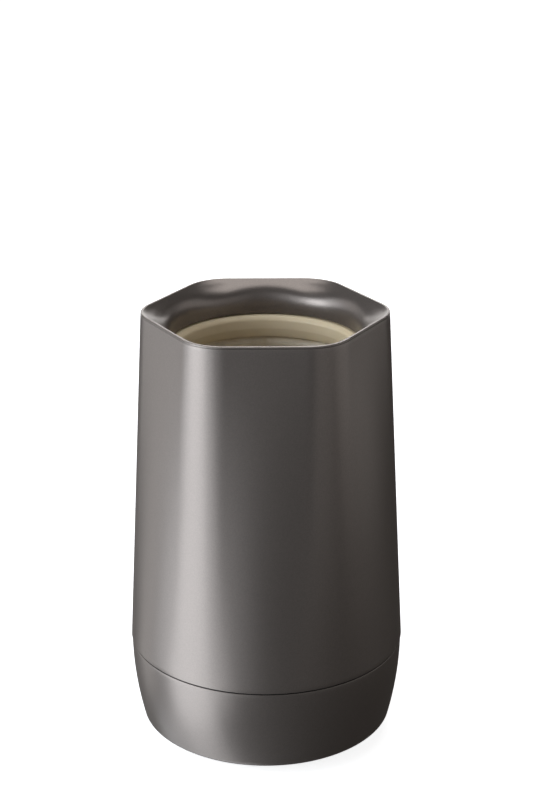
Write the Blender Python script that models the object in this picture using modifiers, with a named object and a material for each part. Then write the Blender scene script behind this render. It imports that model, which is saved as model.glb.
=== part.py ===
"""Insulated bottle cooler: a rounded base, a double-walled housing that twists off, and a cooling sleeve.

Metres, +Z up. The origin is the centre of the underside. The outer skin is a circle at the parting
line and a soft hexagon at the rim, with two of its six corners on the X axis.
"""
from math import atan2, cos, pi, radians, sin, sqrt, tau

import bmesh
import bpy

MM = 0.001
GAP = 0.3 * MM                      # clearance between pieces that touch

# Driving dimensions
HEIGHT = 200.0 * MM
SEAM_Z = 46.1 * MM                  # parting line between base and housing
SEAM_RADIUS = 62.2 * MM             # widest place, at the parting line
RIM_CORNER_RADIUS = 54.2 * MM       # axis to a corner of the rim
RIM_ROUNDING = 20.6 * MM            # how soft the rim's corners are
THROAT_RADIUS = 42.0 * MM           # round mouth at the foot of the funnel
THROAT_Z = 185.3 * MM
FUNNEL_SLOPE = 0.3                  # share of the funnel's fall that is spread evenly over its width
FUNNEL_ROUNDNESS = 3.4              # exponent of its rounded shoulder, which holds the rest
WELL_RADIUS = 40.3 * MM             # inside of the cooling sleeve
SLEEVE_RADIUS = 46.2 * MM           # outside of the cooling sleeve
SHELL_WALL = 1.4 * MM
CUP_WALL = 2.0 * MM
LINER_WALL = 1.4 * MM
FILM_WALL = 0.6 * MM
SLIDE_PLAY = 0.4 * MM               # radial play of pieces that slide in one another

# Base
FOOT_RADIUS = 36.0 * MM
FOOT_THICKNESS = 1.4 * MM
CUP_FLAT_RADIUS = 37.5 * MM         # where the cup's corner curve meets its flat underside
CUP_UNDERSIDE_Z = 0.6 * MM
CUP_TOP_Z = SEAM_Z - 0.6 * MM
CUP_TOP_RADIUS = SEAM_RADIUS - 0.3 * MM
CUP_BOW = 3.3                       # radius lost, in metres, is this times the depth squared
CUP_CORNER_Z = 8.0 * MM             # where the bowed side ends and the corner curve begins
CUP_ROUNDNESS = 1.5                 # exponent of the corner curve
FLOOR_BOTTOM_Z = 11.5 * MM
FLOOR_TOP_Z = 14.5 * MM
SPIGOT_TOP_Z = 60.0 * MM
SPIGOT_WALL = 1.8 * MM
FLANGE_TOP_Z = SEAM_Z - 1.0 * MM
FLANGE_THICKNESS = 2.2 * MM
FLANGE_RADIUS = 59.2 * MM

# Bayonet
LUG_COUNT = 3
LUG_HALF_ANGLE = 7.0                # degrees
LUG_BOTTOM_Z = 53.0 * MM
LUG_TOP_Z = 56.0 * MM
LUG_HEIGHT = 2.4 * MM               # how far a lug stands out of the spigot
TWIST_ANGLE = 30.0                  # degrees from unlocked to locked
SLOT_MARGIN_ANGLE = 1.5             # degrees

# Seal and mat
GASKET_INNER = 54.4 * MM
GASKET_OUTER = 57.0 * MM
MAT_RADIUS = 36.0 * MM

# Screws that hold the core in the cup
SCREW_COUNT = 3
SCREW_CIRCLE_RADIUS = 28.0 * MM
SCREW_SHANK_RADIUS = 1.5 * MM
SCREW_HEAD_RADIUS = 3.1 * MM
SCREW_TIP_Z = 5.5 * MM
SCREW_HEAD_BOTTOM_Z = 12.9 * MM
SCREW_HEAD_TOP_Z = 14.2 * MM
BOSS_RADIUS = 4.2 * MM

# Cooling sleeve
CELL_COUNT = 8
CELL_GAP_ANGLE = 4.0                # degrees of weld between two cells
TOP_RING_HEIGHT = 10.0 * MM
BOTTOM_RING_HEIGHT = 6.0 * MM

SMOOTH_ANGLE = radians(35)
LOFT_POINTS = 48
TURNED_STEPS = 48
SMALL_STEPS = 12
CUP_SIDE_STEPS = 4
CUP_CORNER_STEPS = 5
SHELL_LEVELS = 4

# Sizes that follow from the ones above
SPIGOT_INNER = SLEEVE_RADIUS + SLIDE_PLAY
SPIGOT_OUTER = SPIGOT_INNER + SPIGOT_WALL
LOCK_RING_INNER = SPIGOT_OUTER + SLIDE_PLAY
SLOT_RADIUS = SPIGOT_OUTER + LUG_HEIGHT + 0.5 * MM
LOCK_RING_OUTER = SLOT_RADIUS + 2.0 * MM
LOCK_RING_BOTTOM_Z = SEAM_Z + 0.6 * MM
LINER_INNER = SLEEVE_RADIUS + SLIDE_PLAY
LINER_OUTER = LINER_INNER + LINER_WALL
LINER_BOTTOM_Z = SPIGOT_TOP_Z + 0.4 * MM
LINER_TOP_Z = THROAT_Z + 0.7 * MM
TRAY_BOTTOM_Z = FLOOR_TOP_Z + GAP
TRAY_FLOOR_Z = TRAY_BOTTOM_Z + 1.5 * MM
TRAY_RIM_Z = TRAY_FLOOR_Z + 1.3 * MM
SLEEVE_BOTTOM_Z = TRAY_RIM_Z + GAP
SLEEVE_TOP_Z = THROAT_Z - 0.5 * MM


def remove_scene_objects():
    for obj in list(bpy.data.objects):
        bpy.data.objects.remove(obj, do_unlink=True)


def new_collection(name):
    collection = bpy.data.collections.new(name)
    bpy.context.scene.collection.children.link(collection)
    return collection


def new_material(name, color, roughness, metallic=0.0):
    material = bpy.data.materials.new(name)
    material.use_nodes = True
    shader = material.node_tree.nodes["Principled BSDF"]
    shader.inputs["Base Color"].default_value = (*color, 1.0)
    shader.inputs["Roughness"].default_value = roughness
    shader.inputs["Metallic"].default_value = metallic
    return material


def new_empty(name, z, parent=None):
    """An empty that carries one moving group, with its origin on the joint's axis."""
    empty = bpy.data.objects.new(name, None)
    empty.empty_display_size = 0.02
    parts.objects.link(empty)
    empty.parent = parent
    empty.location.z = z - (0.0 if parent is None else parent_height(parent))
    return empty


def parent_height(empty):
    height = 0.0
    while empty is not None:
        height += empty.location.z
        empty = empty.parent
    return height


def new_object(name, mesh, group=None, material=None, collection=None):
    obj = bpy.data.objects.new(name, mesh)
    (collection or parts).objects.link(obj)
    if material is not None:
        mesh.materials.append(material)
    if group is not None:
        obj.parent = group
        obj.location.z = -parent_height(group)
    return obj


def as_cutter(obj):
    obj.hide_render = True
    obj.display_type = 'WIRE'
    return obj


def smooth(mesh):
    mesh.shade_smooth()
    mesh.set_sharp_from_angle(angle=SMOOTH_ANGLE)


def turned(name, profile, group, material, closed, steps=TURNED_STEPS):
    """A turned piece: profile is (radius, z) points that run down its outer side."""
    mesh = bpy.data.meshes.new(name)
    edges = [(i, i + 1) for i in range(len(profile) - 1)]
    if closed:
        edges.append((len(profile) - 1, 0))
    mesh.from_pydata([(radius, 0.0, z) for radius, z in profile], edges, [])
    obj = new_object(name, mesh, group, material)
    screw = obj.modifiers.new("Turn", 'SCREW')
    screw.axis = 'Z'
    screw.steps = steps
    screw.render_steps = steps
    screw.use_merge_vertices = True
    screw.merge_threshold = 0.00001
    screw.use_smooth_shade = True
    return obj


def ring_sector(name, inner, outer, bottom, top, start, end, steps):
    """A mesh for a block that follows a ring from one angle to another, in degrees."""
    bm = bmesh.new()
    corners = ((inner, bottom), (outer, bottom), (outer, top), (inner, top))
    direction = (cos(radians(start)), sin(radians(start)))
    verts = [bm.verts.new((r * direction[0], r * direction[1], z)) for r, z in corners]
    face = bm.faces.new(verts)
    bmesh.ops.spin(
        bm, geom=[face, *face.edges, *face.verts], axis=(0, 0, 1), cent=(0, 0, 0),
        angle=radians(end - start), steps=steps, use_duplicate=False)
    bmesh.ops.recalc_face_normals(bm, faces=bm.faces)
    mesh = bpy.data.meshes.new(name)
    bm.to_mesh(mesh)
    bm.free()
    return mesh


def cylinder(name, radius, bottom, top, x=0.0, y=0.0, steps=SMALL_STEPS):
    bm = bmesh.new()
    bmesh.ops.create_cone(
        bm, cap_ends=True, segments=steps, radius1=radius, radius2=radius, depth=top - bottom)
    bmesh.ops.translate(bm, verts=bm.verts, vec=(x, y, (top + bottom) / 2))
    mesh = bpy.data.meshes.new(name)
    bm.to_mesh(mesh)
    bm.free()
    return mesh


def boolean(obj, mesh, operation):
    """Cut or join obj with a mesh drawn in world places."""
    tool = as_cutter(new_object(mesh.name, mesh, collection=cutters))
    modifier = obj.modifiers.new(mesh.name, 'BOOLEAN')
    modifier.operation = operation
    modifier.object = tool
    modifier.solver = 'EXACT'


def bevel(obj, width):
    modifier = obj.modifiers.new("Rounded edges", 'BEVEL')
    modifier.width = width
    modifier.segments = 1
    modifier.limit_method = 'ANGLE'
    modifier.angle_limit = radians(40)


def hexagon_distance(angle, corner_radius, rounding):
    """Distance from the axis to a soft hexagon whose corners are at 0, 60, 120... degrees."""
    from_corner = (angle + pi / 6) % (pi / 3) - pi / 6
    centre = corner_radius - rounding
    arc_ends_at = atan2(rounding * sin(pi / 6), centre + rounding * cos(pi / 6))
    if abs(from_corner) <= arc_ends_at:
        across = centre * sin(from_corner)
        return centre * cos(from_corner) + sqrt(rounding ** 2 - across ** 2)
    apothem = centre * cos(pi / 6) + rounding
    return apothem / cos(pi / 6 - abs(from_corner))


def skin_ring(z, inset=0.0):
    """The outer skin's section at a height: a ruled blend from circle to soft hexagon."""
    blend = (z - SEAM_Z) / (HEIGHT - SEAM_Z)
    points = []
    for step in range(LOFT_POINTS):
        angle = tau * step / LOFT_POINTS
        corner = hexagon_distance(angle, RIM_CORNER_RADIUS - inset, RIM_ROUNDING - inset)
        radius = (1 - blend) * (SEAM_RADIUS - inset) + blend * corner
        points.append((radius * cos(angle), radius * sin(angle), z))
    return points


def circle_ring(radius, z):
    angles = [tau * step / LOFT_POINTS for step in range(LOFT_POINTS)]
    return [(radius * cos(angle), radius * sin(angle), z) for angle in angles]


def between(ring_a, ring_b, share):
    return [tuple(a + (b - a) * share for a, b in zip(point_a, point_b))
            for point_a, point_b in zip(ring_a, ring_b)]


def funnel_ring(top_ring, foot_ring, share):
    """The funnel's section a share of the way in: a gentle shelf, then a rounded shoulder."""
    shoulder = 1 - (1 - share ** FUNNEL_ROUNDNESS) ** (1 / FUNNEL_ROUNDNESS)
    fall = FUNNEL_SLOPE * share + (1 - FUNNEL_SLOPE) * shoulder
    top_z = top_ring[0][2]
    foot_z = foot_ring[0][2]
    z = top_z + (foot_z - top_z) * fall
    return [(x, y, z) for x, y, _ in between(top_ring, foot_ring, share)]


def lofted(name, rings, group, material, closed):
    """Faces between rings of equal point counts; closed joins the last ring to the first."""
    bm = bmesh.new()
    rows = [[bm.verts.new(point) for point in ring] for ring in rings]
    pairs = list(zip(rows, rows[1:]))
    if closed:
        pairs.append((rows[-1], rows[0]))
    for upper, lower in pairs:
        for i in range(LOFT_POINTS):
            j = (i + 1) % LOFT_POINTS
            bm.faces.new((upper[i], lower[i], lower[j], upper[j]))
    mesh = bpy.data.meshes.new(name)
    bm.to_mesh(mesh)
    bm.free()
    smooth(mesh)
    return new_object(name, mesh, group, material)


# Housing

def build_outer_shell(group, material):
    """The outer skin, from just under the collar's lip down to the parting line."""
    top = HEIGHT - 1.2 * MM
    heights = [top + (SEAM_Z - top) * level / SHELL_LEVELS for level in range(SHELL_LEVELS + 1)]
    shell = lofted("outer_shell", [skin_ring(z) for z in heights], group, material, closed=False)
    solidify = shell.modifiers.new("Wall", 'SOLIDIFY')
    solidify.thickness = SHELL_WALL
    solidify.offset = -1
    return shell


def build_inner_collar(group, material):
    """The lip, the funnel down to the round throat, and a rib that sits on the liner."""
    lip_bottom = HEIGHT - 0.8 * MM
    funnel_top = skin_ring(HEIGHT - 0.9 * MM, inset=2.3 * MM)
    funnel_foot = circle_ring(THROAT_RADIUS, THROAT_Z + 0.6 * MM)
    back_top = skin_ring(HEIGHT - 2.9 * MM, inset=SHELL_WALL + 2 * GAP)
    back_foot = circle_ring(THROAT_RADIUS + 2.5 * MM, THROAT_Z + 5.5 * MM)
    rib_bottom = LINER_TOP_Z + GAP
    rings = [
        skin_ring(lip_bottom, inset=SHELL_WALL + GAP),
        skin_ring(lip_bottom, inset=0.1 * MM),
        skin_ring(HEIGHT - 0.4 * MM),
        skin_ring(HEIGHT - 0.1 * MM, inset=0.3 * MM),
        skin_ring(HEIGHT, inset=0.9 * MM),
        skin_ring(HEIGHT - 0.2 * MM, inset=1.6 * MM),
        funnel_top,
        *[funnel_ring(funnel_top, funnel_foot, share) for share in (0.35, 0.65, 0.85, 0.95)],
        funnel_foot,
        circle_ring(THROAT_RADIUS + 0.2 * MM, THROAT_Z),
        circle_ring(THROAT_RADIUS + 1.3 * MM, THROAT_Z),
        circle_ring(THROAT_RADIUS + 3.0 * MM, THROAT_Z + 3.3 * MM),
        circle_ring(LINER_INNER + 0.3 * MM, rib_bottom),
        circle_ring(LINER_OUTER, rib_bottom),
        circle_ring(LINER_OUTER, rib_bottom + 1.8 * MM),
        *[funnel_ring(back_top, back_foot, share) for share in (1.0, 0.75, 0.4)],
        back_top,
    ]
    rings.reverse()
    return lofted("inner_collar", rings, group, material, closed=True)


def build_inner_liner(group, material):
    """The tube behind the cooling sleeve, with a flange that sits on the locking ring."""
    flange_top = LINER_BOTTOM_Z + 1.8 * MM
    profile = [
        (LINER_OUTER, LINER_TOP_Z),
        (LINER_OUTER, flange_top),
        (LOCK_RING_OUTER, flange_top),
        (LOCK_RING_OUTER, LINER_BOTTOM_Z),
        (LINER_INNER, LINER_BOTTOM_Z),
        (LINER_INNER, LINER_TOP_Z),
    ]
    return turned("inner_liner", profile, group, material, closed=True)


def build_bayonet_ring(group, material):
    """The ring that closes the double wall below, with an L-shaped slot for each lug."""
    flange_top = LOCK_RING_BOTTOM_Z + 2.0 * MM
    flange_radius = SEAM_RADIUS - SHELL_WALL - 0.9 * MM
    profile = [
        (LOCK_RING_OUTER, SPIGOT_TOP_Z),
        (LOCK_RING_OUTER, flange_top),
        (flange_radius, flange_top),
        (flange_radius, LOCK_RING_BOTTOM_Z),
        (LOCK_RING_INNER, LOCK_RING_BOTTOM_Z),
        (LOCK_RING_INNER, SPIGOT_TOP_Z),
    ]
    ring = turned("bayonet_ring", profile, group, material, closed=True)
    half = LUG_HALF_ANGLE + SLOT_MARGIN_ANGLE
    slot_top = LUG_TOP_Z + 0.5 * MM
    for index in range(LUG_COUNT):
        angle = 360.0 * index / LUG_COUNT
        entry = ring_sector(
            f"slot_entry_{index + 1}", LOCK_RING_INNER - 1 * MM, SLOT_RADIUS,
            LOCK_RING_BOTTOM_Z - 1 * MM, slot_top, angle - half, angle + half, 4)
        run = ring_sector(
            f"slot_run_{index + 1}", LOCK_RING_INNER - 0.9 * MM, SLOT_RADIUS - 0.1 * MM,
            LUG_BOTTOM_Z - 0.4 * MM, slot_top - 0.1 * MM, angle - half - TWIST_ANGLE, angle, 8)
        boolean(ring, entry, 'DIFFERENCE')
        boolean(ring, run, 'DIFFERENCE')
    return ring


# Base

def cup_side_radius(z):
    return CUP_TOP_RADIUS - CUP_BOW * (CUP_TOP_Z - z) ** 2


def cup_profile():
    """Outer side of the cup, top to bottom: a slightly bowed side, closed by a superellipse corner."""
    power = 2 / CUP_ROUNDNESS
    points = []
    for step in range(CUP_SIDE_STEPS):
        z = CUP_TOP_Z + (CUP_CORNER_Z - CUP_TOP_Z) * step / CUP_SIDE_STEPS
        points.append((cup_side_radius(z), z))
    for step in range(CUP_CORNER_STEPS + 1):
        turn = pi / 2 * step / CUP_CORNER_STEPS
        z = CUP_CORNER_Z - (CUP_CORNER_Z - CUP_UNDERSIDE_Z) * sin(turn) ** power
        width = cup_side_radius(z) - CUP_FLAT_RADIUS
        points.append((CUP_FLAT_RADIUS + width * max(cos(turn), 0.0) ** power, z))
    return points


def screw_places():
    for index in range(SCREW_COUNT):
        angle = tau * index / SCREW_COUNT + pi / 2
        yield index + 1, SCREW_CIRCLE_RADIUS * cos(angle), SCREW_CIRCLE_RADIUS * sin(angle)


def build_base_cup(group, material):
    """The rounded cup, with a recess for the foot and a boss for each screw."""
    recess_radius = FOOT_RADIUS + GAP
    recess_z = FOOT_THICKNESS + GAP
    profile = cup_profile()
    profile += [(recess_radius, CUP_UNDERSIDE_Z), (recess_radius, recess_z), (0.0, recess_z)]
    cup = turned("base_cup", profile, group, material, closed=False)
    solidify = cup.modifiers.new("Wall", 'SOLIDIFY')
    solidify.thickness = CUP_WALL
    solidify.offset = -1
    floor_top = recess_z + CUP_WALL
    for index, x, y in screw_places():
        boss = cylinder(f"boss_{index}", BOSS_RADIUS, floor_top - 0.8 * MM, FLOOR_BOTTOM_Z - GAP, x, y)
        boolean(cup, boss, 'UNION')
    for index, x, y in screw_places():
        hole = cylinder(
            f"boss_hole_{index}", SCREW_SHANK_RADIUS + GAP, SCREW_TIP_Z - 0.8 * MM,
            FLOOR_BOTTOM_Z + 1 * MM, x, y)
        boolean(cup, hole, 'DIFFERENCE')
    return cup


def build_base_core(group, material):
    """The dish with the spigot, its sealing flange and the bayonet lugs."""
    flange_bottom = FLANGE_TOP_Z - FLANGE_THICKNESS
    profile = [
        (0.0, FLOOR_TOP_Z),
        (SPIGOT_INNER, FLOOR_TOP_Z),
        (SPIGOT_INNER, SPIGOT_TOP_Z),
        (SPIGOT_OUTER, SPIGOT_TOP_Z),
        (SPIGOT_OUTER, FLANGE_TOP_Z),
        (FLANGE_RADIUS, FLANGE_TOP_Z),
        (FLANGE_RADIUS, flange_bottom),
        (SPIGOT_OUTER, flange_bottom),
        (SPIGOT_OUTER, FLOOR_BOTTOM_Z),
        (0.0, FLOOR_BOTTOM_Z),
    ]
    core = turned("base_core", profile, group, material, closed=False)
    for index in range(LUG_COUNT):
        angle = 360.0 * index / LUG_COUNT
        lug = ring_sector(
            f"lug_{index + 1}", SPIGOT_OUTER - 0.9 * MM, SPIGOT_OUTER + LUG_HEIGHT,
            LUG_BOTTOM_Z, LUG_TOP_Z, angle - LUG_HALF_ANGLE, angle + LUG_HALF_ANGLE, 4)
        boolean(core, lug, 'UNION')
    for index, x, y in screw_places():
        hole = cylinder(
            f"core_hole_{index}", SCREW_SHANK_RADIUS + GAP, FLOOR_BOTTOM_Z - 1 * MM,
            FLOOR_TOP_Z + 1 * MM, x, y)
        head_room = cylinder(
            f"head_room_{index}", SCREW_HEAD_RADIUS + GAP, SCREW_HEAD_BOTTOM_Z - GAP,
            FLOOR_TOP_Z + 1.2 * MM, x, y)
        boolean(core, hole, 'DIFFERENCE')
        boolean(core, head_room, 'DIFFERENCE')
    return core


def build_base_screw(index, x, y, group, material):
    """A flat-headed screw with a hexagonal socket."""
    profile = [
        (0.0, SCREW_HEAD_TOP_Z),
        (SCREW_HEAD_RADIUS, SCREW_HEAD_TOP_Z),
        (SCREW_HEAD_RADIUS, SCREW_HEAD_BOTTOM_Z),
        (SCREW_SHANK_RADIUS, SCREW_HEAD_BOTTOM_Z),
        (SCREW_SHANK_RADIUS, SCREW_TIP_Z + 1 * MM),
        (0.0, SCREW_TIP_Z),
    ]
    screw = turned(f"base_screw_{index}", profile, group, material, closed=False, steps=SMALL_STEPS)
    screw.location.x = x
    screw.location.y = y
    socket = cylinder(
        f"socket_{index}", 1.4 * MM, SCREW_HEAD_TOP_Z - 0.8 * MM, SCREW_HEAD_TOP_Z + 1 * MM, x, y, steps=6)
    boolean(screw, socket, 'DIFFERENCE')
    return screw


def build_base_gasket(group, material):
    """The soft ring in the joint between the base and the housing."""
    bottom = FLANGE_TOP_Z + GAP
    top = LOCK_RING_BOTTOM_Z - GAP
    profile = [(GASKET_OUTER, top), (GASKET_OUTER, bottom), (GASKET_INNER, bottom), (GASKET_INNER, top)]
    return turned("base_gasket", profile, group, material, closed=True)


def build_anti_slip_foot(group, material):
    edge = 0.4 * MM
    profile = [
        (0.0, FOOT_THICKNESS),
        (FOOT_RADIUS, FOOT_THICKNESS),
        (FOOT_RADIUS, edge),
        (FOOT_RADIUS - edge, 0.0),
        (0.0, 0.0),
    ]
    return turned("anti_slip_foot", profile, group, material, closed=False)


# Tray

def build_drip_tray(group, material):
    """A loose shallow dish. The sleeve stands on its rim."""
    rim_inner = SLEEVE_RADIUS - 2.0 * MM
    profile = [
        (0.0, TRAY_FLOOR_Z),
        (rim_inner, TRAY_FLOOR_Z),
        (rim_inner + 0.6 * MM, TRAY_RIM_Z),
        (SLEEVE_RADIUS, TRAY_RIM_Z),
        (SLEEVE_RADIUS, TRAY_BOTTOM_Z),
        (0.0, TRAY_BOTTOM_Z),
    ]
    return turned("drip_tray", profile, group, material, closed=False)


def build_bottle_mat(group, material):
    edge = 0.5 * MM
    bottom = TRAY_FLOOR_Z + GAP
    top = bottom + 2.0 * MM
    profile = [
        (0.0, top),
        (MAT_RADIUS - edge, top),
        (MAT_RADIUS, top - edge),
        (MAT_RADIUS, bottom),
        (0.0, bottom),
    ]
    return turned("bottle_mat", profile, group, material, closed=False)


# Cooling sleeve

def build_top_ring(group, material):
    """The pale ring that shows below the throat."""
    bottom = SLEEVE_TOP_Z - TOP_RING_HEIGHT
    profile = [
        (SLEEVE_RADIUS - 1.2 * MM, SLEEVE_TOP_Z),
        (SLEEVE_RADIUS, SLEEVE_TOP_Z - 1.2 * MM),
        (SLEEVE_RADIUS, bottom),
        (WELL_RADIUS, bottom),
        (WELL_RADIUS - 1.0 * MM, bottom + 4.0 * MM),
        (WELL_RADIUS - 1.0 * MM, SLEEVE_TOP_Z - 2.4 * MM),
        (WELL_RADIUS - 0.4 * MM, SLEEVE_TOP_Z - 1.0 * MM),
        (WELL_RADIUS + 1.2 * MM, SLEEVE_TOP_Z),
    ]
    return turned("element_top_ring", profile, group, material, closed=True)


def build_bottom_ring(group, material):
    top = SLEEVE_BOTTOM_Z + BOTTOM_RING_HEIGHT
    edge = 0.8 * MM
    profile = [
        (SLEEVE_RADIUS, top),
        (SLEEVE_RADIUS, SLEEVE_BOTTOM_Z + edge),
        (SLEEVE_RADIUS - edge, SLEEVE_BOTTOM_Z),
        (WELL_RADIUS + edge, SLEEVE_BOTTOM_Z),
        (WELL_RADIUS, SLEEVE_BOTTOM_Z + edge),
        (WELL_RADIUS, top),
    ]
    return turned("element_bottom_ring", profile, group, material, closed=True)


def build_film(name, inner, group, material):
    top = SLEEVE_TOP_Z - TOP_RING_HEIGHT - GAP
    bottom = SLEEVE_BOTTOM_Z + BOTTOM_RING_HEIGHT + GAP
    outer = inner + FILM_WALL
    profile = [(outer, top), (outer, bottom), (inner, bottom), (inner, top)]
    return turned(name, profile, group, material, closed=True)


def build_gel_cell(index, group, material):
    """One gel pack between the two films."""
    clearance = FILM_WALL + 0.4 * MM
    top = SLEEVE_TOP_Z - TOP_RING_HEIGHT - 2.0 * MM
    bottom = SLEEVE_BOTTOM_Z + BOTTOM_RING_HEIGHT + 2.0 * MM
    pitch = 360.0 / CELL_COUNT
    start = pitch * (index - 1) + CELL_GAP_ANGLE / 2
    mesh = ring_sector(
        f"gel_cell_{index}", WELL_RADIUS + clearance, SLEEVE_RADIUS - clearance,
        bottom, top, start, start + pitch - CELL_GAP_ANGLE, 5)
    smooth(mesh)
    cell = new_object(mesh.name, mesh, group, material)
    bevel(cell, 1.2 * MM)
    return cell


def build_cooler():
    graphite = new_material("graphite_satin", (0.20, 0.185, 0.175), 0.32, 0.35)
    graphite_inside = new_material("graphite_inside", (0.10, 0.095, 0.09), 0.5)
    pale_plastic = new_material("pale_plastic", (0.76, 0.70, 0.52), 0.55)
    pale_film = new_material("pale_film", (0.74, 0.71, 0.62), 0.45)
    gel = new_material("gel", (0.55, 0.68, 0.74), 0.3)
    dark_rubber = new_material("dark_rubber", (0.03, 0.03, 0.03), 0.8)
    steel = new_material("screw_steel", (0.6, 0.6, 0.6), 0.35, 1.0)

    base = new_empty("base", 0.0)
    tray = new_empty("tray", FLOOR_TOP_Z, base)
    sleeve = new_empty("cooling_sleeve", SLEEVE_BOTTOM_Z, tray)
    housing = new_empty("housing", SEAM_Z, sleeve)

    build_base_cup(base, graphite)
    build_base_core(base, graphite_inside)
    build_base_gasket(base, dark_rubber)
    build_anti_slip_foot(base, dark_rubber)
    for index, x, y in screw_places():
        build_base_screw(index, x, y, base, steel)

    build_drip_tray(tray, graphite_inside)
    build_bottle_mat(tray, dark_rubber)

    build_top_ring(sleeve, pale_plastic)
    build_bottom_ring(sleeve, pale_plastic)
    build_film("sleeve_inner_film", WELL_RADIUS, sleeve, pale_film)
    build_film("sleeve_outer_film", SLEEVE_RADIUS - FILM_WALL, sleeve, pale_film)
    for index in range(1, CELL_COUNT + 1):
        build_gel_cell(index, sleeve, gel)

    build_outer_shell(housing, graphite)
    build_inner_collar(housing, graphite)
    build_inner_liner(housing, graphite_inside)
    build_bayonet_ring(housing, graphite_inside)


remove_scene_objects()
parts = new_collection("bottle_cooler")
cutters = new_collection("cutters")
build_cooler()
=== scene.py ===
"""The looks of a double-walled bottle cooler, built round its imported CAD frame.

Every piece is remade as a fine mesh in the place that its CAD node holds, with a procedural
material. Outer sizes come from the CAD nodes' boxes, and walls and clearances repeat the part's
design. Metres, +Z up, -Y is the front.
"""
from math import atan2, cos, pi, radians, sin, sqrt, tan, tau

import bmesh
import bpy
from mathutils import Euler, Matrix, Vector, noise


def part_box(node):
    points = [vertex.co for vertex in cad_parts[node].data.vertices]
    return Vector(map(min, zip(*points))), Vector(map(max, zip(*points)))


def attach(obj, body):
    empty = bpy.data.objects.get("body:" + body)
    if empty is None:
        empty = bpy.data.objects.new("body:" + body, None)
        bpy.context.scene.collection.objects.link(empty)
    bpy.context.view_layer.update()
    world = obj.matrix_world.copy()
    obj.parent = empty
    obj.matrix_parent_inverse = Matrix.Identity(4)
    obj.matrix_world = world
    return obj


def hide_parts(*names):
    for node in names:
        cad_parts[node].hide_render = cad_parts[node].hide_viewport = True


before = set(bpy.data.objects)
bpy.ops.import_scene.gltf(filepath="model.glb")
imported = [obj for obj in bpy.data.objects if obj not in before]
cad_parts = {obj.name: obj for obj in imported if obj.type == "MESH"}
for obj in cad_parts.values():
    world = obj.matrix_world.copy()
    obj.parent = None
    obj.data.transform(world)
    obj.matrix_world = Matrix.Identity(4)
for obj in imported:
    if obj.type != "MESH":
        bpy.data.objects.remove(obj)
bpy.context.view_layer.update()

MM = 0.001


def low(node):
    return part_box(node)[0]


def high(node):
    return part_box(node)[1]


# Sizes read from the CAD nodes
HEIGHT = high("inner_collar").z
SEAM_Z = low("outer_shell").z
SEAM_RADIUS = high("outer_shell").x
RIM_CORNER_RADIUS = high("inner_collar").x
RIM_FLAT_RADIUS = high("inner_collar").y
THROAT_Z = low("inner_collar").z
CUP_UNDERSIDE_Z = low("base_cup").z
CUP_TOP_RADIUS = high("base_cup").x
SLEEVE_RADIUS = high("element_top_ring").x
SLEEVE_TOP_Z = high("element_top_ring").z
TOP_RING_BOTTOM_Z = low("element_top_ring").z
SLEEVE_BOTTOM_Z = low("element_bottom_ring").z
BOTTOM_RING_TOP_Z = high("element_bottom_ring").z
LINER_TOP_Z = high("inner_liner").z
LINER_BOTTOM_Z = low("inner_liner").z
LOCK_RING_OUTER = high("inner_liner").x
LOCK_RING_BOTTOM_Z = low("bayonet_ring").z
LOCK_RING_TOP_Z = high("bayonet_ring").z
LOCK_FLANGE_RADIUS = high("bayonet_ring").x
CORE_FLANGE_RADIUS = high("base_core").x
SPIGOT_TOP_Z = high("base_core").z
CORE_BOTTOM_Z = low("base_core").z
FOOT_RADIUS = high("anti_slip_foot").x
FOOT_TOP_Z = high("anti_slip_foot").z
MAT_RADIUS = high("bottle_mat").x
MAT_BOTTOM_Z = low("bottle_mat").z
MAT_TOP_Z = high("bottle_mat").z
TRAY_BOTTOM_Z = low("drip_tray").z
TRAY_RIM_Z = high("drip_tray").z
GASKET_BOTTOM_Z = low("base_gasket").z
GASKET_TOP_Z = high("base_gasket").z
GASKET_OUTER = high("base_gasket").x
FILM_TOP_Z = high("sleeve_inner_film").z
FILM_BOTTOM_Z = low("sleeve_inner_film").z
SCREW_HEAD_TOP_Z = high("base_screw_1").z
SCREW_TIP_Z = low("base_screw_1").z

# Sizes that repeat the part's own design
GAP = 0.3 * MM                      # clearance between neighbouring pieces
SEAM_GAP = 0.72 * MM                # open height of the parting line
CUP_TOP_Z = SEAM_Z - SEAM_GAP
LIP_BOTTOM_Z = HEIGHT - 0.8 * MM
SHELL_WALL = 1.4 * MM
CUP_WALL = 2.0 * MM
THROAT_RADIUS = 42.0 * MM
FUNNEL_SLOPE = 0.3                  # share of the funnel's fall that is spread evenly over its width
FUNNEL_ROUNDNESS = 3.4              # exponent of its rounded shoulder, which holds the rest
WELL_RADIUS = 40.3 * MM
CUP_FLAT_RADIUS = 37.5 * MM         # where the cup's corner curve meets its flat underside
CUP_BOW = 3.3                       # radius lost, in metres, is this times the depth squared
CUP_CORNER_Z = 8.0 * MM             # where the bowed side ends and the corner curve begins
CUP_ROUNDNESS = 1.5                 # exponent of the corner curve
LINER_INNER = 46.6 * MM
LINER_OUTER = 48.0 * MM
LINER_FLANGE = 1.8 * MM
LOCK_RING_FLANGE = 2.0 * MM
CORE_FLANGE = 2.2 * MM
GASKET_WIDTH = 2.6 * MM
FILM_WALL = 0.6 * MM
WELD_RADIUS = (WELL_RADIUS + SLEEVE_RADIUS) / 2
SPIGOT_INNER = 46.6 * MM
SPIGOT_OUTER = 48.4 * MM
LOCK_RING_INNER = 48.8 * MM
SLOT_RADIUS = 51.3 * MM
LUG_RADIUS = 50.8 * MM
LUG_BOTTOM_Z = 53.0 * MM
LUG_TOP_Z = 56.0 * MM
ROOM_OVER_LUG = 0.5 * MM
ROOM_UNDER_LUG = 0.4 * MM
LUG_HALF_ANGLE = 7.0                # degrees
SLOT_HALF_ANGLE = 8.5               # degrees
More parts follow.
